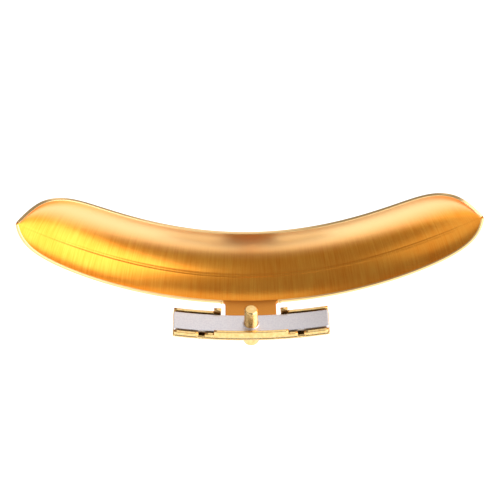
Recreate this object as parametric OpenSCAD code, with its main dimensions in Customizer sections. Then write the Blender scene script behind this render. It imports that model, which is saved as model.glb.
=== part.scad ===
// Clamp-on banjo armrest: a pressed leaf-shaped rest on a channel bracket that
// is clamped over two tension hooks by a loose inner plate and one screw.
// It lies on its back. X runs along the rest, Y is the normal of the drum head,
// and Z points inwards, to the drum's axis. The origin is on the screw's axis,
// at the bracket's clamping face.

/* [Shell] */
// Straight length from tip to tip
shell_length = 175.8; // [160:0.2:190]
// Plan radius of the lower edge, seen along the drum's axis
plan_r = 130; // [125:0.5:150]
// Outer radius of the arched cross-section at the middle
section_r = 18.9; // [16:0.1:24]
// Angle round the section from its lower edge to the crease
crease_angle = 37.5; // [25:0.5:45]
// Width of the lower leaf half, measured round the section
lower_width = 11.7; // [8:0.1:13]
// Width of the upper leaf half, measured round the section
upper_width = 19; // [12:0.1:22]
// How far the tips sink towards the head
tip_drop = 5.6; // [0:0.1:8]
// Height of the fine crease that runs from tip to tip
crease_height = 0.25; // [0:0.05:0.5]

/* [Bracket] */
// Radius of the clamping face about the drum's axis
clamp_r = 154; // [140:0.2:170]
// Thickness of the brass sheet of shell and bracket
sheet = 1.2; // [0.8:0.1:1.5]
// Straight length of the channel
channel_length = 60; // [50:1:70]
// Outer height of the channel
channel_height = 12.7; // [12:0.1:16]
// Outer depth of the flanges between the hooks
deep_flange = 5.2; // [4:0.1:6]
// Outer depth of the flanges at the hooks
low_flange = 3.5; // [2.5:0.1:3.8]
// Half the width over the deep flanges
deep_half = 14.5; // [13:0.1:16]
// Half the width between the lugs of the top flange
lug_half = 11.7; // [11:0.1:12.5]
// Width of the neck
neck_width = 19.7; // [14:0.1:20.5]
// Height of the shell's lower edge above the screw's axis
neck_top = 13.4; // [11:0.1:16]
// Distance between the two hook notches
hook_spacing = 38.5; // [36:0.5:42]

/* [Clamp] */
// Height of the clamp plate
plate_height = 8.5; // [7:0.1:9]
// Thickness of the clamp plate
plate_t = 1.2; // [1:0.1:2]
// Gap between the plate and the clamping face as drawn
plate_gap = 1.2; // [0.1:0.1:4]
// Diameter of the screw's shank
screw_d = 5.2; // [4:0.1:5.5]
// Distance from the clamping face to the screw's tip
screw_reach = 10.3; // [9:0.1:12]
// Diameter of the screw's head
head_d = 6; // [5.8:0.1:9]
// Height of the screw's head over its dome
head_height = 6.4; // [4:0.1:8]

/* [Hidden] */
$fn = 96;
running_gap = 0.08;    // radial clearance of the screw in both holes
head_gap = 0.05;       // head to the curved back of the web
bend_out = 1.5;        // outer radius of the flange bends
bend_in = 0.3;         // inner radius of the flange bends
relief_top = 4.9;      // floor of the relief gaps beside the neck
braze_lap = 0.8;       // how far the neck runs on past neck_top, into the shell's edge
neck_foot = 3.5;       // height at which the neck leaves the web
neck_step = 0.01;      // how much thinner the neck is than the web, on each face
notch_width = 2.5;
notch_depth = 0.9;
chamfer = 0.5;         // at the screw's tip and the head's rim
dome = 0.9;            // height of the head's domed end
slot_width = 1;
slot_depth = 1.4;
collar_r = 3.2;        // drawn collar round the plate's threaded hole
collar_height = 0.35;
web_r = clamp_r + sheet;
half_height = channel_height / 2;
inner_half = half_height - sheet;

// The shell's grid: columns along the rest, rows round its section
columns = 34;          // on each side of the middle
lower_rows = 4;
upper_rows = 6;
rows = lower_rows + upper_rows;
tip_cut = 0.998;       // the grid ends just short of the point
lower_shape = [4.6, 17, 0.595];    // two powers and the share of the second
upper_shape = [14.3, 80, 0.43];
tip_share = 0.12;      // what is left of the section's radius at the tips
crease_r = plan_r - section_r * (1 - cos(crease_angle));   // of the crease's back
tip_angle = asin(shell_length / 2 / crease_r);

// Place along the rest, -1 to 1, with the columns closer together at the tips
function along(i) = let (s = i / columns) sign(s) * tip_cut * (1 - pow(1 - abs(s), 2));

// Half-width of the leaf as a share of its full width: a sum of two powers that ends in a point
function leaf(t, shape) = 1 - (1 - shape[2]) * pow(abs(t), shape[0]) - shape[2] * pow(abs(t), shape[1]);

// Outer radius of the section, which tightens towards the tips as the leaf narrows
function section(t) = section_r * (tip_share + (1 - tip_share) * pow(leaf(t, upper_shape), 0.9));

// Half-widths as angles round the section, measured at the middle of the sheet
function lower_angle(t) = lower_width * leaf(t, lower_shape) / (section(t) - sheet / 2) * 180 / PI;
function upper_angle(t) = upper_width * leaf(t, upper_shape) / (section(t) - sheet / 2) * 180 / PI;

// Angle round the section of row j
function row_angle(t, j) = crease_angle + (j < lower_rows
    ? -lower_angle(t) * (1 - j / lower_rows)
    : upper_angle(t) * (j - lower_rows) / upper_rows);

// A point at the depth in under the back, turned about the rest's plan centre
function shell_point(t, angle, in) =
    let (r = section(t) - in, turn = t * tip_angle,
         reach = crease_r - section(t) * cos(crease_angle) + r * cos(angle))
    [reach * sin(turn),
     neck_top + (section_r - section(t)) * sin(crease_angle) + r * sin(angle) - tip_drop * pow(t, 4),
     plan_r - sheet - reach * cos(turn)];

// Depth of the hollow side: the crease stands up from it and runs out at the tips
function hollow_depth(t, j) = sheet + (j == lower_rows ? crease_height * (1 - pow(t, 6)) : 0);

function back_index(i, j) = (i + columns) * (rows + 1) + j;
function hollow_index(i, j) = back_index(i, j) + (2 * columns + 1) * (rows + 1);

// Two triangles over the four corners a, b, c, d
function quad(a, b, c, d) = [[a, b, c], [a, c, d]];

module armrest_shell() {
    back = [for (i = [-columns:columns], j = [0:rows])
        shell_point(along(i), row_angle(along(i), j), 0)];
    hollow = [for (i = [-columns:columns], j = [0:rows])
        shell_point(along(i), row_angle(along(i), j), hollow_depth(along(i), j))];
    skins = [for (i = [-columns:columns - 1], j = [0:rows - 1]) each concat(
        quad(back_index(i, j), back_index(i, j + 1), back_index(i + 1, j + 1), back_index(i + 1, j)),
        quad(hollow_index(i, j), hollow_index(i + 1, j), hollow_index(i + 1, j + 1), hollow_index(i, j + 1)))];
    edges = [for (i = [-columns:columns - 1]) each concat(
        quad(back_index(i, 0), back_index(i + 1, 0), hollow_index(i + 1, 0), hollow_index(i, 0)),
        quad(back_index(i, rows), hollow_index(i, rows), hollow_index(i + 1, rows), back_index(i + 1, rows)))];
    tips = [for (j = [0:rows - 1]) each concat(
        quad(back_index(-columns, j), hollow_index(-columns, j),
             hollow_index(-columns, j + 1), back_index(-columns, j + 1)),
        quad(back_index(columns, j), back_index(columns, j + 1),
             hollow_index(columns, j + 1), hollow_index(columns, j)))];
    color("goldenrod")
        polyhedron(points = concat(back, hollow), faces = concat(skins, edges, tips), convexity = 6);
}

// Sweeps a section (distance from the drum's axis, height) from x = from to x = to
module sweep(from, to) {
    start = asin(from / web_r);
    translate([0, 0, clamp_r])
        rotate([-90, 0, 0])
            rotate([0, 0, 90 - asin(to / web_r)])
                rotate_extrude(angle = asin(to / web_r) - start, $fn = 720)
                    children();
}

// The same sweep on both sides of the middle
module both_sides(from, to) {
    sweep(from, to) children();
    sweep(-to, -from) children();
}

module rounded_rectangle(low, high, r) {
    translate([low[0], low[1] + r]) square([high[0] - low[0], high[1] - low[1] - 2 * r]);
    translate([low[0] + r, low[1]]) square([high[0] - low[0] - 2 * r, high[1] - low[1]]);
    for (x = [low[0] + r, high[0] - r], y = [low[1] + r, high[1] - r])
        translate([x, y]) circle(r, $fn = 48);
}

// The bent channel with both flanges deep
module channel_section() {
    wide = 4 * deep_flange;
    intersection() {
        difference() {
            rounded_rectangle([web_r - wide, -half_height], [web_r, half_height], bend_out);
            rounded_rectangle([web_r - 2 * wide, -inner_half], [clamp_r, inner_half], bend_in);
        }
        translate([web_r - deep_flange, -half_height]) square([deep_flange, 2 * half_height]);
    }
}

// The neck's section, a hair inside both faces of the web that it grows out of
module neck_section() {
    translate([clamp_r + neck_step, neck_foot])
        square([sheet - 2 * neck_step, neck_top + braze_lap - neck_foot]);
}

// What is cut away over the height from, from the hollow side out to the radius r
module cut_section(from, r) {
    translate([web_r - 3 * deep_flange, from]) square([3 * deep_flange - web_r + r, 2 * neck_top]);
}

module hook_notch(x) {
    translate([0, 0, clamp_r])
        rotate([0, -asin(x / web_r), 0])
            translate([-notch_width / 2, -half_height - 1, -web_r + low_flange - notch_depth])
                cube([notch_width, sheet + 2, 2 * notch_depth]);
}

module channel_bracket() {
    end = channel_length / 2;
    color("gold") {
        difference() {
            sweep(-end, end) channel_section();
            sweep(-lug_half, lug_half) cut_section(0, clamp_r);
            sweep(-lug_half, lug_half) cut_section(relief_top, web_r + 1);
            both_sides(deep_half, end + 1) cut_section(-neck_top, web_r - low_flange);
            translate([0, 0, -2 * sheet]) cylinder(h = 3 * sheet, d = screw_d + 2 * running_gap);
            hook_notch(hook_spacing / 2);
            hook_notch(-hook_spacing / 2);
        }
        sweep(-neck_width / 2, neck_width / 2) neck_section();
    }
}

module clamp_plate() {
    plate_r = clamp_r - plate_gap;
    collar_top = plate_gap + plate_t + collar_height;
    color("silver")
        difference() {
            union() {
                sweep(-channel_length / 2, channel_length / 2)
                    translate([plate_r - plate_t, -plate_height / 2]) square([plate_t, plate_height]);
                translate([0, 0, plate_gap + plate_t / 2])
                    cylinder(h = collar_top - plate_gap - plate_t / 2, r = collar_r);
            }
            translate([0, 0, -1]) cylinder(h = collar_top + 2, d = screw_d + 2 * running_gap);
        }
}

module clamp_screw() {
    seat = -sheet - head_gap;
    head_end = seat - head_height;
    shank_r = screw_d / 2;
    head_r = head_d / 2;
    dome_r = (head_r * head_r + dome * dome) / (2 * dome);
    color("gold")
        difference() {
            union() {
                translate([0, 0, seat - chamfer]) cylinder(h = screw_reach - seat, r = shank_r);
                translate([0, 0, screw_reach - chamfer]) cylinder(h = chamfer, r1 = shank_r, r2 = shank_r - chamfer);
                translate([0, 0, head_end + dome]) cylinder(h = head_height - dome, r = head_r);
                intersection() {
                    translate([0, 0, head_end + dome_r]) sphere(dome_r);
                    translate([0, 0, head_end]) cylinder(h = dome, r = head_r);
                }
            }
            translate([-head_d, -slot_width / 2, head_end - 1])
                cube([2 * head_d, slot_width, slot_depth + 1]);
        }
}

armrest_shell();
channel_bracket();
clamp_plate();
clamp_screw();
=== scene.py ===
import math

import bpy
import numpy as np
from mathutils import Matrix, Vector


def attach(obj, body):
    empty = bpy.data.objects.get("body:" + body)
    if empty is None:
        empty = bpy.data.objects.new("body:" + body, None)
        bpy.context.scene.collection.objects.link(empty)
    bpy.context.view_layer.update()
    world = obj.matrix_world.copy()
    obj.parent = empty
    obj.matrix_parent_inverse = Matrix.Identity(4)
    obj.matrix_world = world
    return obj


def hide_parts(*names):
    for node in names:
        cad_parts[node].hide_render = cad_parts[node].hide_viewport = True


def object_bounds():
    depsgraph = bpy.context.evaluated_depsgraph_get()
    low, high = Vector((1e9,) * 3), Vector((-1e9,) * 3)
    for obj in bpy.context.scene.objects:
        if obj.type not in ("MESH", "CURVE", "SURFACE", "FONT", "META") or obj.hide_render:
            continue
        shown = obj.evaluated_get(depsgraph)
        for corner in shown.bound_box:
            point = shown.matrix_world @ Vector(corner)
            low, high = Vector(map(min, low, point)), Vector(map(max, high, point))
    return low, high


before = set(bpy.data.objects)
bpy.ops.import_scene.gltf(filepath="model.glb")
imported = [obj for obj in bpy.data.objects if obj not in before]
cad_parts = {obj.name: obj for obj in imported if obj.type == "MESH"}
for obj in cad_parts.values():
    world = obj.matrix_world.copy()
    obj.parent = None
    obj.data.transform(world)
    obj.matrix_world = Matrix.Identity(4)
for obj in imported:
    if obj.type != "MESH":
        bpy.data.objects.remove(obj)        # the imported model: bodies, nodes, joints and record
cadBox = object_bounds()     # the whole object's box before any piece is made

mm = 0.001               # every length below is in millimetres and becomes metres in makePiece


def blockOf(xs, ss):
    # a grid of sheet coordinates: one column of points for each x, and its four-sided faces
    points = np.stack(np.meshgrid(xs, ss, indexing="ij"), -1).reshape(-1, 2)
    return points, gridFaces(len(xs), len(ss))


def gridFaces(columns, rows):
    # faces of a grid whose point (i, j) has the index i * rows + j
    i, j = np.meshgrid(np.arange(columns - 1), np.arange(rows - 1), indexing="ij")
    corner = (i * rows + j).ravel()
    return np.stack([corner, corner + rows, corner + rows + 1, corner + 1], -1)


def keepFaces(block, wanted):
    # the faces of a block whose middle passes the test wanted(x, s)
    points, faces = block
    middle = points[faces].mean(1)
    return points, faces[wanted(middle[:, 0], middle[:, 1])]


def holeBlock(half, radius, steps, layers):
    # the square patch round a hole: its outer ring follows the square's edge, its inner one the circle
    side = np.linspace(-half, half, steps + 1)[:-1]
    flat = np.full(steps, half)
    square = np.concatenate([np.stack([side, -flat], -1), np.stack([flat, side], -1),
                             np.stack([-side, flat], -1), np.stack([-flat, -side], -1)])
    circle = radius * square / np.linalg.norm(square, axis=1, keepdims=True)
    share = np.linspace(0, 1, layers + 1)[:, None, None]
    rings = (1 - share) * square + share * circle
    count = len(square)
    layer, k = np.meshgrid(np.arange(layers), np.arange(count), indexing="ij")
    here, following = (layer * count + k).ravel(), (layer * count + (k + 1) % count).ravel()
    return rings.reshape(-1, 2), np.stack([here, following, following + count, here + count], -1)


def weld(parts):
    # joins blocks of (points, faces) where their points are the same
    points = np.concatenate([p for p, f in parts])
    starts = np.cumsum([0] + [len(p) for p, f in parts[:-1]])
    faces = np.concatenate([f + start for (p, f), start in zip(parts, starts)])
    first, same = np.unique(np.round(points, 5), axis=0, return_index=True, return_inverse=True)[1:]
    faces = same.reshape(-1)[faces]
    used, faces = np.unique(faces, return_inverse=True)
    return points[first][used], faces.reshape(-1, 4)


def unit(v):
    # the same directions with a length of one
    return v / np.maximum(np.linalg.norm(v, axis=-1, keepdims=True), 1e-12)


def pointNormals(points, faces):
    # the mean of the faces round each point, by the cross product of their diagonals
    a, b, c, d = (points[faces[:, k]] for k in range(4))
    normals = np.zeros_like(points)
    np.add.at(normals, faces.ravel(), np.repeat(np.cross(c - a, d - b), 4, axis=0))
    return unit(normals)


def thicken(points, faces, thickness, rounding, isSeam=None):
    # both skins of a sheet lie half its thickness either side of the middle surface, and its rim is a
    # flat edge with rounded corners that stands out by the same half; an edge on a seam stays flush
    half = thickness / 2
    count = len(points)
    normals = pointNormals(points, faces)
    edges = faces[:, [0, 1, 1, 2, 2, 3, 3, 0]].reshape(-1, 2)
    edges = edges[~np.isin(edges[:, 0] * count + edges[:, 1], edges[:, 1] * count + edges[:, 0])]
    rim = edges if isSeam is None else edges[~(isSeam(points[edges[:, 0]]) & isSeam(points[edges[:, 1]]))]
    along = unit(points[rim[:, 1]] - points[rim[:, 0]])
    outward = np.zeros_like(points)
    for end in (0, 1):
        np.add.at(outward, rim[:, end], unit(np.cross(along, normals[rim[:, end]])))
    onRim = np.abs(outward).sum(1, keepdims=True) > 0
    outward *= 2 / np.maximum((outward ** 2).sum(1, keepdims=True), 1e-9) * onRim      # mitred at a corner
    turn = np.linspace(0, math.pi / 2, 5)
    out = np.concatenate([1 - rounding + rounding * np.sin(turn), 1 - rounding + rounding * np.cos(turn)])
    up = np.concatenate([1 - rounding + rounding * np.cos(turn), -1 + rounding - rounding * np.sin(turn)])
    border = np.unique(edges)
    place = np.zeros(count, int)
    place[border] = np.arange(len(border))
    strips = [points[border] + half * (o * outward[border] + u * normals[border]) for o, u in zip(out, up)]
    skins = [points + half * normals, points - half * normals]
    rows = [edges] + [2 * count + k * len(border) + place[edges] for k in range(len(out))] + [count + edges]
    walls = [np.stack([a[:, 1], a[:, 0], b[:, 0], b[:, 1]], -1) for a, b in zip(rows[:-1], rows[1:])]
    source = np.concatenate([np.arange(count)] * 2 + [border] * len(out))     # which point each came from
    return np.concatenate(skins + strips), np.concatenate([faces, count + faces[:, ::-1]] + walls), source


def makePiece(name, points, faces, body, replaced, material, leaf=None):
    # one smooth-shaded mesh in metres that rides on its body and stands for its CAD node; leaf holds a
    # place on the unrolled surface for each point
    mesh = bpy.data.meshes.new(name)
    mesh.vertices.add(len(points))
    mesh.vertices.foreach_set("co", (points * mm).astype(np.float32).ravel())
    mesh.loops.add(faces.size)
    mesh.loops.foreach_set("vertex_index", faces.astype(np.int32).ravel())
    mesh.polygons.add(len(faces))
    mesh.polygons.foreach_set("loop_start", np.arange(0, faces.size, 4, dtype=np.int32))
    mesh.update(calc_edges=True)
    mesh.validate()
    mesh.polygons.foreach_set("use_smooth", np.ones(len(mesh.polygons), bool))
    if leaf is not None:
        unrolled = mesh.attributes.new("leaf", "FLOAT_VECTOR", "POINT")
        unrolled.data.foreach_set("vector", leaf.astype(np.float32).ravel())
    piece = bpy.data.objects.new(name, mesh)
    bpy.context.scene.collection.objects.link(piece)
    mesh.materials.append(material)
    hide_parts(*replaced)
    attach(piece, body)
    print(name, len(mesh.polygons), "faces")


def linear(hexColour):
    # an sRGB hex value as linear red, green, blue and alpha
    parts = [int(hexColour[k:k + 2], 16) / 255 for k in (1, 3, 5)]
    return [p / 12.92 if p <= 0.04045 else ((p + 0.055) / 1.055) ** 2.4 for p in parts] + [1.0]


def addNode(tree, kind, settings=None, **links):
    # a node with its attributes and socket values set and its named inputs linked
    node = tree.nodes.new(kind)
    for key, value in (settings or {}).items():
        if isinstance(key, int) or key in node.inputs:     # a number picks a socket that shares its name
            node.inputs[key].default_value = value
        else:
            setattr(node, key, value)
    for socket, source in links.items():
        tree.links.new(source, node.inputs[socket.replace("_", " ")])
    return node


brushedFinishAndPaintedReflection = {        # hard gold plate over pressed brass, linished across its length, with a painted reflection towards its upper rim and on its lower rim
    "light": "#ffb246",  # the plate's own colour, a deep yellow
    "deep": "#f08c26",   # between the brush marks, where it looks redder
    "paintedReflection": "#fdd596",   # painted reflection: a paler gold towards the upper rim, and on the lower rim
    "reflectionFrom": 0.3,     # share of the upper half over which the painted reflection comes in
    "reflectionTo": 0.8,
    "rimReflectionFrom": -0.998,   # share of the lower half past which its rim gets the painted reflection too
    "roughness": (0.26, 0.36),
    "lineSpacing": 0.5,  # real brush marks are near 0.1 mm, drawn coarser so that they show
    "lineLength": 12.0,
    "lineDepth": 0.0012,
    "cloud": 14.0,       # size of the slow variation in the plate's colour
    "cloudShare": 0.4,   # what it adds beside the brush marks
    "contrast": (0.3, 0.7),
}


def plated(name):
    # a new metal: the material, its node tree and its shader
    material = bpy.data.materials.new(name)
    material.use_nodes = True
    shader = material.node_tree.nodes["Principled BSDF"]
    shader.inputs["Metallic"].default_value = 1.0
    return material, material.node_tree, shader


def twoTones(tree, share, finish):
    # runs from the deep tone to the light one as the share rises through the finish's contrast
    ramp = addNode(tree, "ShaderNodeValToRGB", Fac=share)
    for stop, place, tone in zip(ramp.color_ramp.elements, finish["contrast"], ("deep", "light")):
        stop.position = place
        stop.color = linear(finish[tone])
    return ramp.outputs["Color"]


def brushedGold(name, finish):
    # warm yellow metal with fine marks across the rest, which smear its reflections lengthways, and a
    # painted reflection that turns it paler towards the upper rim and on the lower rim; the attribute's parts
    # are the place along the rest, the place round its section and that place's share
    material, tree, shader = plated(name)
    place = addNode(tree, "ShaderNodeAttribute", {"attribute_name": "leaf"}).outputs["Vector"]
    squash = finish["lineSpacing"] / finish["lineLength"]
    stretch = addNode(tree, "ShaderNodeMapping", {"Scale": (1, squash, 0)}, Vector=place).outputs["Vector"]
    marks = addNode(tree, "ShaderNodeTexNoise", {"Scale": 1 / (finish["lineSpacing"] * mm), "Detail": 4.0},
                    Vector=stretch).outputs["Fac"]
    flat = addNode(tree, "ShaderNodeMapping", {"Scale": (1, 1, 0)}, Vector=place).outputs["Vector"]
    cloud = addNode(tree, "ShaderNodeTexNoise", {"Scale": 1 / (finish["cloud"] * mm), "Detail": 3.0},
                    Vector=flat).outputs["Fac"]
    blend = addNode(tree, "ShaderNodeMix", {"Factor": finish["cloudShare"]},
                    A=marks, B=cloud).outputs["Result"]
    gold = twoTones(tree, blend, finish)
    # painted reflection: paler gold towards the upper rim and on the lower rim, set by the place round the
    # section
    split = addNode(tree, "ShaderNodeSeparateXYZ", Vector=place)
    upperReflection = addNode(tree, "ShaderNodeMapRange", {"interpolation_type": "SMOOTHSTEP",
                                                 "From Min": finish["reflectionFrom"],
                                                 "From Max": finish["reflectionTo"]}, Value=split.outputs["Z"])
    rim = addNode(tree, "ShaderNodeMath", {"operation": "LESS_THAN", 1: finish["rimReflectionFrom"]})
    tree.links.new(split.outputs["Z"], rim.inputs[0])
    reflectionShare = addNode(tree, "ShaderNodeMath", {"operation": "MAXIMUM"})
    tree.links.new(upperReflection.outputs["Result"], reflectionShare.inputs[0])
    tree.links.new(rim.outputs[0], reflectionShare.inputs[1])
    colour = addNode(tree, "ShaderNodeMix", {"data_type": "RGBA"})
    tree.links.new(reflectionShare.outputs[0], colour.inputs["Factor"])
    tree.links.new(gold, colour.inputs[6])
    colour.inputs[7].default_value = linear(finish["paintedReflection"])
    tree.links.new(colour.outputs[2], shader.inputs["Base Color"])
    rough = addNode(tree, "ShaderNodeMapRange", {"To Min": finish["roughness"][0],
                                                 "To Max": finish["roughness"][1]}, Value=marks)
    tree.links.new(rough.outputs["Result"], shader.inputs["Roughness"])
    bump = addNode(tree, "ShaderNodeBump", {"Distance": finish["lineDepth"] * mm, "Strength": 1.0},
                   Height=marks)
    tree.links.new(bump.outputs["Normal"], shader.inputs["Normal"])
    return material


brightFinishAndPaintedNeck = {         # gold plate over polished brass: pale, with small sharp highlights, and a deeper painted reflection on the bracket's neck
    "light": "#fbd795",
    "deep": "#f0c47c",
    "contrast": (0.35, 0.65),
    "roughness": (0.17, 0.24),
    "mottle": 1.2,       # size of the faint cloudiness that handling leaves
    "mottleDepth": 0.003,
    "neck": "#cf8638",   # painted reflection of the gold rest: the neck is tinted deeper, near the rest's own tone, where it is set off by the relief gaps beside it and the channel below it
    "neckHalf": 10.6,    # and is set off by the relief gaps beside it and the channel below it
    "neckReflectionFoot": 4.0,     # height over the screw's axis
}


def mottledPlate(name, finish):
    # plated metal with a faint cloudiness in its colour and a soft unevenness in its shine, and where the
    # finish asks for it a painted reflection on the bracket's neck
    material, tree, shader = plated(name)
    place = addNode(tree, "ShaderNodeTexCoord").outputs["Object"]
    mottle = addNode(tree, "ShaderNodeTexNoise", {"Scale": 1 / (finish["mottle"] * mm), "Detail": 4.0},
                     Vector=place).outputs["Fac"]
    colour = twoTones(tree, mottle, finish)
    # painted reflection: on the bracket's neck, between the relief gaps and above the channel, the colour turns
    # to the deeper neck tone
    if "neck" in finish:
        split = addNode(tree, "ShaderNodeSeparateXYZ", Vector=place)
        across = addNode(tree, "ShaderNodeMath", {"operation": "ABSOLUTE"}, Value=split.outputs["X"])
        inside = addNode(tree, "ShaderNodeMath", {"operation": "LESS_THAN", 1: finish["neckHalf"] * mm})
        above = addNode(tree, "ShaderNodeMath", {"operation": "GREATER_THAN", 1: finish["neckReflectionFoot"] * mm})
        both = addNode(tree, "ShaderNodeMath", {"operation": "MULTIPLY"})
        tree.links.new(across.outputs[0], inside.inputs[0])
        tree.links.new(split.outputs["Y"], above.inputs[0])
        tree.links.new(inside.outputs[0], both.inputs[0])
        tree.links.new(above.outputs[0], both.inputs[1])
        paintedNeckReflection = addNode(tree, "ShaderNodeMix", {"data_type": "RGBA"})
        tree.links.new(both.outputs[0], paintedNeckReflection.inputs["Factor"])
        tree.links.new(colour, paintedNeckReflection.inputs[6])
        paintedNeckReflection.inputs[7].default_value = linear(finish["neck"])
        colour = paintedNeckReflection.outputs[2]
    tree.links.new(colour, shader.inputs["Base Color"])
    rough = addNode(tree, "ShaderNodeMapRange", {"To Min": finish["roughness"][0],
                                                 "To Max": finish["roughness"][1]}, Value=mottle)
    tree.links.new(rough.outputs["Result"], shader.inputs["Roughness"])
    bump = addNode(tree, "ShaderNodeBump", {"Distance": finish["mottleDepth"] * mm, "Strength": 0.5},
                   Height=mottle)
    tree.links.new(bump.outputs["Normal"], shader.inputs["Normal"])
    return material


nickelFinish = {         # dull nickel plate over steel, tumbled: a soft grey-white without clear reflections
    "light": "#f3f0f3",
    "deep": "#e6e2e8",
    "contrast": (0.35, 0.65),
    "roughness": (0.357, 0.504),
    "mottle": 0.6,       # the tumbling's grain
    "mottleDepth": 0.003,
}


shell = {
    "length": 175.8,        # straight, tip to tip
    "planRadius": 129.9,    # of the lower edge, seen along the drum's axis
    "sectionRadius": 18.9,  # outside of the arched section, at the middle
    "tipShare": 0.12,       # what is left of that radius at the tips
    "tipPower": 0.9,        # how the rest of it follows the leaf's narrowing
    "tipReach": 0.994,      # share of the length at which the leaf ends, before its wall's thickness
    "lastLine": 0.9985,     # and of the leaf at which the mesh ends, a hair short of the point
    "creaseAngle": 37.5,    # degrees round the section from its lower edge
    "lowerWidth": 11.7,     # round the section, from the crease down
    "upperWidth": 19.0,     # and from the crease up
    "lowerShape": (4.6, 17, 0.595),    # two powers and the share of the second: they narrow the leaf
    "upperShape": (14.3, 80, 0.43),
    "tipDrop": 5.6,         # how far the tips sink towards the screw's axis
    "edgeHeight": 13.4,     # the section's lowest level over the screw's axis
    "thickness": 1.2,
    "rounding": 0.3,        # of the rim's corners, as a share of half the thickness
    "creaseHeight": 0.28,   # of the pressed line, which stands into the hollow
    "creaseWidth": 0.4,     # known fault: so tight for its height that a skin crosses itself there
    "seamHalf": 11.2,       # half the width over which the neck is brazed on
    "steps": (150, 20),     # grid steps from the neck to a tip, and over the neck
    "stepsRound": (22, 30),            # round the section, below and above the crease
}


def leafShare(t, shape):
    # half-width as a share of the full one at the place t, -1 to 1 between the tips, where it ends in a point
    return 1 - (1 - shape[2]) * np.abs(t) ** shape[0] - shape[2] * np.abs(t) ** shape[1]


def leafWidth(t, width, shape):
    # the middle surface's own width from the crease to an edge, its wall's rim left out
    return (width - shell["thickness"] / 2) * leafShare(t, shape)


def shellPoint(t, arc):
    # a point of the middle surface: arc is the distance round the section from the crease. The section
    # is a circle that tightens as the leaf narrows, so that the ends close like a pod; it is carried
    # round the rest's plan centre while the tips sink with t to the fourth
    crease = math.radians(shell["creaseAngle"])
    full = shell["sectionRadius"]
    planCrease = shell["planRadius"] - full * (1 - math.cos(crease))
    tip = math.asin(shell["length"] / 2 / planCrease) * shell["tipReach"]
    narrowed = leafShare(t, shell["upperShape"]) ** shell["tipPower"]
    back = full * (shell["tipShare"] + (1 - shell["tipShare"]) * narrowed)
    middle = back - shell["thickness"] / 2
    angle = crease + arc / middle
    bead = shell["creaseHeight"] * np.exp(-(arc / shell["creaseWidth"]) ** 2) * (1 - t ** 6)
    radius = middle - bead
    reach = planCrease - back * math.cos(crease) + radius * np.cos(angle)
    return np.stack([reach * np.sin(t * tip),
                     shell["edgeHeight"] + (full - back) * math.sin(crease) + radius * np.sin(angle)
                     - shell["tipDrop"] * t ** 4,
                     shell["planRadius"] - shell["thickness"] - reach * np.cos(t * tip)], -1)


def lowerPoint(t):
    # the middle surface's lower edge at the place t
    return shellPoint(t, -leafWidth(t, shell["lowerWidth"], shell["lowerShape"]))


def lowerEdge(x):
    # the middle surface's lower edge at a given x, as its t and its point, found by a few corrections
    t = x / shell["length"] * 2
    for correction in range(6):
        t = t * x / np.where(x == 0, 1, lowerPoint(t)[:, 0] + (x == 0))
    return t, lowerPoint(t)


def makeShell(material):
    # the grid's lines gather at the tips and at the crease
    alongSteps, seamSteps = shell["steps"]
    lowerSteps, upperSteps = shell["stepsRound"]
    seamT = float(lowerEdge(np.array([shell["seamHalf"]]))[0][0])
    outer = seamT + (shell["lastLine"] - seamT) * np.sin(np.linspace(0, math.pi / 2, alongSteps))
    places = np.concatenate([-outer[::-1], np.linspace(-seamT, seamT, seamSteps + 1)[1:-1], outer])
    lowerShare = np.linspace(1, 0, lowerSteps + 1) ** 1.6
    upperShare = np.linspace(0, 1, upperSteps + 1)[1:] ** 1.5
    t = places[:, None]
    arc = np.concatenate([-lowerShare * leafWidth(t, shell["lowerWidth"], shell["lowerShape"]),
                          upperShare * leafWidth(t, shell["upperWidth"], shell["upperShape"])], 1)
    points = shellPoint(np.broadcast_to(t, arc.shape), arc)
    faces = gridFaces(*arc.shape)

    def onSeam(p):
        nearEdge = (p[:, 1] < shell["edgeHeight"] + 1.2) & (p[:, 2] < 1)
        return (np.abs(p[:, 0]) < shell["seamHalf"] + 0.01) & nearEdge

    skin, walls, source = thicken(points.reshape(-1, 3), faces, shell["thickness"], shell["rounding"], onSeam)
    half = shell["length"] / 2 * mm
    share = np.concatenate([-lowerShare, upperShare])
    leaf = np.stack(np.broadcast_arrays(t * half, arc * mm, share), -1).reshape(-1, 3)[source]
    makePiece("armrestShell", skin, walls, "armrest", ["armrest_shell"], material, leaf)


bracket = {
    "clampRadius": 154.0,   # clamping face about the drum's axis
    "thickness": 1.2,
    "rounding": 0.3,
    "length": 60.0,
    "height": 12.7,
    "bendOut": 1.5,         # outer bend radius
    "deep": 5.2,            # outside depth of the lower flange's middle and of the two upper lugs
    "low": 3.5,             # and of both flanges beyond
    "deepHalf": 14.5,       # half-widths, from the screw's axis: where the deep part ends,
    "lugHalf": 11.7,        # where the lugs start
    "neckHalf": 9.85,       # and the neck itself
    "fillet": 1.5,          # in the corners between neck and shell
    "reliefTop": 4.9,       # floor of the gaps between neck and lugs
    "notchAt": 19.25,       # for the drum's hooks
    "notchWidth": 2.5,
    "notchDepth": 0.9,
    "holeRadius": 2.68,
    "holePatch": 4.0,       # half the square of grid that is fitted round the hole
    "blendFrom": 7.0,       # height from which the neck turns into the shell
}


def bendPoint(x, s):
    # the middle surface of the channel: s runs round its section, up the web and round both bends,
    # and x is carried round the drum's axis
    half = bracket["thickness"] / 2
    radius = bracket["bendOut"] - half
    straight = bracket["height"] / 2 - bracket["bendOut"]
    beyond = np.maximum(np.abs(s) - straight, 0)
    turn = np.minimum(beyond / radius, math.pi / 2)
    y = np.sign(s) * (np.minimum(np.abs(s), straight) + radius * np.sin(turn))
    depth = half + radius * (1 - np.cos(turn)) + np.maximum(beyond - radius * math.pi / 2, 0)
    return aroundDrum(x, y, depth)


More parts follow.
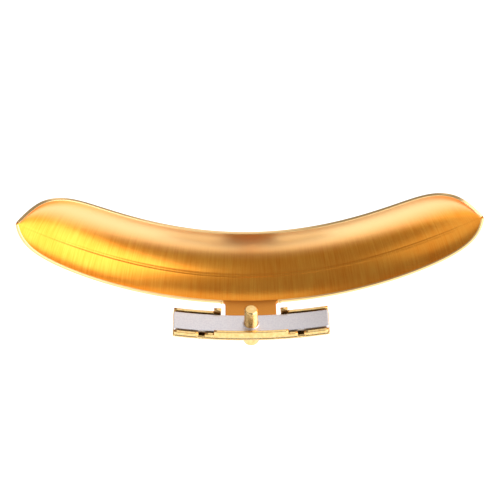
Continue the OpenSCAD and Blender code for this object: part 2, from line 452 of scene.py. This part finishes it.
def aroundDrum(x, y, depth):
    # depth is measured inwards from the web's outer face
    outer = bracket["clampRadius"] + bracket["thickness"]
    angle = np.arcsin(x / outer)
    radius = outer - depth
    return np.stack([radius * np.sin(angle), y, bracket["clampRadius"] - radius * np.cos(angle)], -1)


def neckPoint(x, share):
    # straight up from the web's relief height to the shell's edge, easing from one curve to the other.
    # Known fault: it starts from the plain x, not from the web's bent one, so weld can't join the two
    low = bracket["reliefTop"] - bracket["thickness"] / 2
    top = lowerEdge(x)[1]
    y = low + share * (top[:, 1] - low)
    ease = np.clip((y - bracket["blendFrom"]) / (top[:, 1] - bracket["blendFrom"]), 0, 1)
    ease = ease * ease * (3 - 2 * ease)
    web = aroundDrum(x, y, bracket["thickness"] / 2)
    return np.stack([x * (1 - ease) + top[:, 0] * ease, y, web[:, 2] * (1 - ease) + top[:, 2] * ease], -1)


def lines(*stops):
    # grid lines from stop to stop; each stop is a place and the number of steps to the next
    parts = [np.linspace(a[0], b[0], a[1] + 1)[:-1] for a, b in zip(stops[:-1], stops[1:])]
    return np.concatenate(parts + [[stops[-1][0]]])


def makeBracket(material):
    # sheet coordinates: x along the channel, s round its section from the screw's axis. Lines of the
    # grid fall on every cut, and the faces outside the cuts are kept
    half = bracket["thickness"] / 2
    straight = bracket["height"] / 2 - bracket["bendOut"]
    bendEnd = straight + (bracket["bendOut"] - half) * math.pi / 2
    lowEnd = bendEnd + bracket["low"] - half - bracket["bendOut"]
    deepEnd = bendEnd + bracket["deep"] - half - bracket["bendOut"]
    notchFloor = bracket["low"] - bracket["notchDepth"] - half
    notchTurn = math.acos(1 - (notchFloor - half) / (bracket["bendOut"] - half))
    notchEnd = straight + (bracket["bendOut"] - half) * notchTurn
    relief = bracket["reliefTop"] - half
    patch = bracket["holePatch"]
    neck, lug, deep = bracket["neckHalf"] - half, bracket["lugHalf"] + half, bracket["deepHalf"] - half
    notchIn = bracket["notchAt"] - bracket["notchWidth"] / 2 - half
    notchOut = bracket["notchAt"] + bracket["notchWidth"] / 2 + half
    end = bracket["length"] / 2 - half
    # known fault: notchEnd lies past bendEnd, so the lines of down run back on themselves there and the
    # lower flange is folded over itself in a strip half a millimetre wide
    side = lines((patch, 5), (neck, 4), (lug, 2), (deep, 3), (notchIn, 4), (notchOut, 8), (end, 0))
    inner = np.linspace(-patch, patch, 10)
    xs = np.concatenate([-side[::-1], inner[1:-1], side])
    down = lines((deepEnd, 3), (lowEnd, 1), (bendEnd, 4), (notchEnd, 4), (straight, 1), (patch, 0))
    ss = np.concatenate([-down, inner[1:-1], [patch, relief]])

    def cutLower(x, s):
        x = np.abs(x)
        edge = np.where(x < deep, deepEnd, np.where((x > notchIn) & (x < notchOut), notchEnd, lowEnd))
        return (-s < edge) & ~((x < patch) & (np.abs(s) < patch))

    def cutUpper(x, s):
        return s < np.where(np.abs(x) < deep, deepEnd, lowEnd)

    web = keepFaces(blockOf(xs, ss), cutLower)
    flangeLines = lines((relief, 2), (straight, 6), (bendEnd, 1), (lowEnd, 3), (deepEnd, 0))
    right = xs[xs > lug - 1e-6]
    parts = [web, holeBlock(patch, bracket["holeRadius"] + half, 9, 4)]
    parts += [keepFaces(blockOf(places, flangeLines), cutUpper) for places in (-right[::-1], right)]
    solid = [(bendPoint(p[:, 0], p[:, 1]), f) for p, f in parts]
    neckXs = xs[np.abs(xs) < neck + 1e-6]
    fillet = bracket["fillet"] + half
    neckHeight = lowerEdge(np.array([neck]))[1][0, 1] - relief
    corner = 1 - fillet / neckHeight
    shares = np.concatenate([np.linspace(0, corner, 9)[:-1], np.linspace(corner, 1, 9)])
    points, faces = blockOf(neckXs, shares)
    solid.append((neckPoint(points[:, 0], points[:, 1]), faces))
    swing = np.linspace(0, math.pi / 2 * 0.97, 12)     # round the fillet, from the neck's side outwards
    filletXs = neck + fillet * (1 - np.cos(swing))
    foot = 1 - (1 - corner) * (1 - np.sin(swing))      # share of the neck's height at the fillet's edge
    share = foot[:, None] + (1 - foot[:, None]) * np.linspace(0, 1, 9)
    for sign in (-1, 1):
        x = np.broadcast_to(sign * filletXs[:, None], share.shape)
        points = neckPoint(x.ravel(), share.ravel())
        faces = gridFaces(*share.shape)
        solid.append((points, faces if sign > 0 else faces[:, ::-1]))
    points, faces = weld(solid)

    def onSeam(p):
        return np.abs(p[:, 1] - lowerEdge(p[:, 0])[1][:, 1]) < 0.004

    skin, walls = thicken(points, faces, bracket["thickness"], bracket["rounding"], onSeam)[:2]
    makePiece("channelBracket", skin, walls, "armrest", ["channel_bracket"], material)


plate = {
    "gap": 1.2,             # to the clamping face
    "thickness": 1.2,
    "rounding": 0.3,
    "height": 8.5,
    "holeRadius": 2.68,
    "holePatch": 3.4,       # half the square of grid that is fitted round the hole
    "collarRadius": 3.2,    # of the low ring round the hole
    "collarHeight": 0.35,
    "collarRoot": 0.2,      # how far it reaches into the plate
}


def lathe(profile, steps):
    # turns a closed profile of (radius, z) points about the Z axis
    turn = np.linspace(0, 2 * math.pi, steps, endpoint=False)[:, None]
    radius, z = profile[:, 0][None], profile[:, 1][None]
    points = np.stack(np.broadcast_arrays(radius * np.cos(turn), radius * np.sin(turn), z), -1)
    i, j = np.meshgrid(np.arange(steps), np.arange(len(profile)), indexing="ij")
    after, up = (i + 1) % steps, (j + 1) % len(profile)
    count = len(profile)
    faces = np.stack([i * count + j, after * count + j, after * count + up, i * count + up], -1)
    return points.reshape(-1, 3), faces.reshape(-1, 4)


def makePlate(material):
    # a strip bent round the drum's axis like the channel's web, and a turned collar round its hole
    half = plate["thickness"] / 2
    end = bracket["length"] / 2 - half
    top = plate["height"] / 2 - half
    patch = plate["holePatch"]
    inner = np.linspace(-patch, patch, 10)
    side = lines((patch, 40), (end, 0))
    xs = np.concatenate([-side[::-1], inner[1:-1], side])
    ss = np.concatenate([[-top], inner, [top]])
    strip = keepFaces(blockOf(xs, ss), lambda x, s: ~((np.abs(x) < patch) & (np.abs(s) < patch)))
    points, faces = weld([strip, holeBlock(patch, plate["holeRadius"] + half, 9, 1)])
    depth = bracket["thickness"] + plate["gap"] + half
    points = aroundDrum(points[:, 0], points[:, 1], depth)
    skin, walls = thicken(points, faces, plate["thickness"], plate["rounding"])[:2]
    foot = plate["gap"] + plate["thickness"] - plate["collarRoot"]
    crown = plate["gap"] + plate["thickness"] + plate["collarHeight"]
    hole, rim = plate["holeRadius"], plate["collarRadius"]
    ring, ringFaces = lathe(np.array([[hole, foot], [rim + 0.1, foot], [rim, crown - 0.15], [rim - 0.12, crown],
                                      [hole + 0.1, crown], [hole, crown - 0.1]]), 48)
    points = np.concatenate([skin, ring])
    faces = np.concatenate([walls, ringFaces + len(skin)])
    makePiece("clampPlate", points, faces, "plate", ["clamp_plate"], material)


screw = {
    "radius": 2.6,
    "pitch": 0.8,
    "threadDepth": 0.3,
    "tip": 10.3,
    "chamfer": 0.5,
    "seat": -1.25,          # underside of the head
    "headRadius": 3.0,
    "headHeight": 6.4,
    "dome": 0.9,            # how far the head's end bulges
    "steps": 72,            # round it, and for each turn of the thread along it
    "stepsPerTurn": 12,
}


def makeScrew(material):
    # a turned body whose radius is cut by the thread: the groove's depth at a height z and a turn
    # angle follows the distance to the helix, which climbs one pitch for each turn
    steps = screw["steps"]
    turn = np.linspace(0, 2 * math.pi, steps, endpoint=False)[:, None]
    top = screw["tip"] - screw["chamfer"]
    rows = int((top - screw["seat"]) / screw["pitch"] * screw["stepsPerTurn"])
    z = np.linspace(screw["seat"], top, rows)[None]
    phase = (z / screw["pitch"] - turn / (2 * math.pi)) % 1
    groove = np.clip(1.25 - np.abs(phase - 0.5) * 5, 0, 1) * screw["threadDepth"]
    fade = np.clip((z - screw["seat"]) / screw["pitch"] - 0.5, 0, 1)
    radius = screw["radius"] - groove * fade
    shank = np.stack(np.broadcast_arrays(radius * np.cos(turn), radius * np.sin(turn), z), -1)

    def ringsOf(profile):
        r, height = np.array(profile)[:, 0][None], np.array(profile)[:, 1][None]
        return np.stack(np.broadcast_arrays(r * np.cos(turn), r * np.sin(turn), height), -1)

    end = screw["seat"] - screw["headHeight"]
    big = screw["headRadius"]
    domeRadius = (big ** 2 + screw["dome"] ** 2) / (2 * screw["dome"])
    share = np.linspace(0.004, 0.97, 14) * big
    dome = np.stack([share, end + domeRadius - np.sqrt(domeRadius ** 2 - share ** 2)], -1)
    seat, last, small = screw["seat"], screw["tip"], screw["radius"] - screw["chamfer"]
    side = [[big, end + screw["dome"] + 0.12], [big, end + 2.5], [big, seat - 0.15], [big - 0.05, seat - 0.04],
            [big - 0.15, seat], [screw["radius"] + 0.02, seat]]
    tip = [[small + 0.14, last - 0.1], [small - 0.02, last - 0.02], [small - 0.15, last], [1.2, last]]
    body = np.concatenate([ringsOf(dome), ringsOf(side), shank, ringsOf(tip)], 1)
    count = body.shape[1]
    faces = gridFaces(steps + 1, count) % (steps * count)
    i = np.arange(steps // 2 - 1)
    cap = np.stack([i, i + 1, steps - 2 - i, steps - 1 - i], -1) * count     # a ladder of faces closes a ring
    faces = np.concatenate([faces, cap + count - 1, cap[:, ::-1]])
    makePiece("clampScrew", body.reshape(-1, 3), faces, "screw", ["clamp_screw"], material)


studio = {
    "pivot": (0, 0, -1.2),  # the camera's angles are taken from this point on the screw's axis
    "distance": 693.7,
    "tilt": 42.65,          # between the line of sight and the screw's axis, degrees
    "above": 30.62,         # how far over the pivot the camera aims
    "beside": -0.23,
    "roll": 0.39,
    "turn": -0.5,           # about the screw's axis
    "lens": 130.25,
    "floorDrop": 0.3,       # below the lowest point
    "floorGrey": 0.15,
    "floorGlow": 1.2,       # it gives off light of its own, so that it stays white and shadowless
    "ambient": 0.3,         # the room's own light
    "lamps": [              # name, azimuth and elevation in degrees, distance and side in metres, watts
        ("softboxRight", 340, 25, 0.9, 1.3, 14),
        ("softboxLeft", 200, 25, 1.0, 0.8, 1.2),
        ("softboxBack", 80, 50, 1.0, 0.7, 1.2),
    ],
}


def makeCamera():
    # back points from the pivot to the camera; the camera then aims a little beside the pivot
    tilt, turn = math.radians(studio["tilt"]), math.radians(studio["turn"])
    pivot = np.array(studio["pivot"])
    back = np.array([math.sin(turn) * math.sin(tilt), -math.cos(turn) * math.sin(tilt), math.cos(tilt)])
    side = np.array([math.cos(turn), math.sin(turn), 0])
    up = np.cross(back, side)
    eye = pivot + studio["distance"] * back
    aim = pivot + studio["above"] * up + studio["beside"] * side
    away = unit(eye - aim)
    right = unit(np.cross(up + math.radians(studio["roll"]) * side, away))
    upright = np.cross(away, right)
    data = bpy.data.cameras.new("camera")
    data.lens = studio["lens"]
    data.sensor_width = 36.0
    data.clip_start = 0.01
    camera = bpy.data.objects.new("camera", data)
    matrix = np.eye(4)
    matrix[:3, 0], matrix[:3, 1], matrix[:3, 2], matrix[:3, 3] = right, upright, away, eye * mm
    camera.matrix_world = Matrix(matrix.tolist())
    bpy.context.scene.collection.objects.link(camera)
    bpy.context.scene.camera = camera


def makeFloor():
    # a plain white sheet, wide enough to fill every view
    height = cadBox[0][2] - studio["floorDrop"] * mm
    bpy.ops.mesh.primitive_plane_add(size=6.0, location=(0, 0, height))
    floor = bpy.context.object
    floor.name = "floor"
    material = bpy.data.materials.new("whitePaper")
    material.use_nodes = True
    shader = material.node_tree.nodes["Principled BSDF"]
    shader.inputs["Base Color"].default_value = (studio["floorGrey"],) * 3 + (1,)
    shader.inputs["Roughness"].default_value = 0.9
    shader.inputs["Emission Color"].default_value = (1, 1, 1, 1)
    shader.inputs["Emission Strength"].default_value = studio["floorGlow"]
    floor.data.materials.append(material)


def makeLight(name, azimuth, elevation, distance, side, power):
    # a square softbox that faces the screw from a direction about its axis
    turn, rise = math.radians(azimuth), math.radians(elevation)
    away = Vector((math.cos(turn) * math.cos(rise), math.sin(turn) * math.cos(rise), math.sin(rise)))
    data = bpy.data.lights.new(name, "AREA")
    data.shape = "SQUARE"
    data.size = side
    data.energy = power
    lamp = bpy.data.objects.new(name, data)
    lamp.location = away * distance
    lamp.rotation_euler = away.to_track_quat("Z", "Y").to_euler()
    bpy.context.scene.collection.objects.link(lamp)


def makeWorld():
    world = bpy.data.worlds.new("studio")
    world.use_nodes = True
    bpy.context.scene.world = world
    background = world.node_tree.nodes["Background"]
    background.inputs["Color"].default_value = (1, 1, 1, 1)
    background.inputs["Strength"].default_value = studio["ambient"]


shellGold = brushedGold("brushedGoldAndPaintedReflection", brushedFinishAndPaintedReflection)
brightGold = mottledPlate("brightGoldAndPaintedNeck", brightFinishAndPaintedNeck)
satinNickel = mottledPlate("satinNickelPlate", nickelFinish)
print("finishes mixed")

makeShell(shellGold)
makeBracket(brightGold)
makePlate(satinNickel)
makeScrew(brightGold)
print("pieces made")

makeCamera()
makeFloor()
makeWorld()
for lamp in studio["lamps"]:
    makeLight(*lamp)
bpy.context.scene.view_settings.view_transform = "Standard"     # plain colours, as the hex values say
print("camera, floor and lights placed")
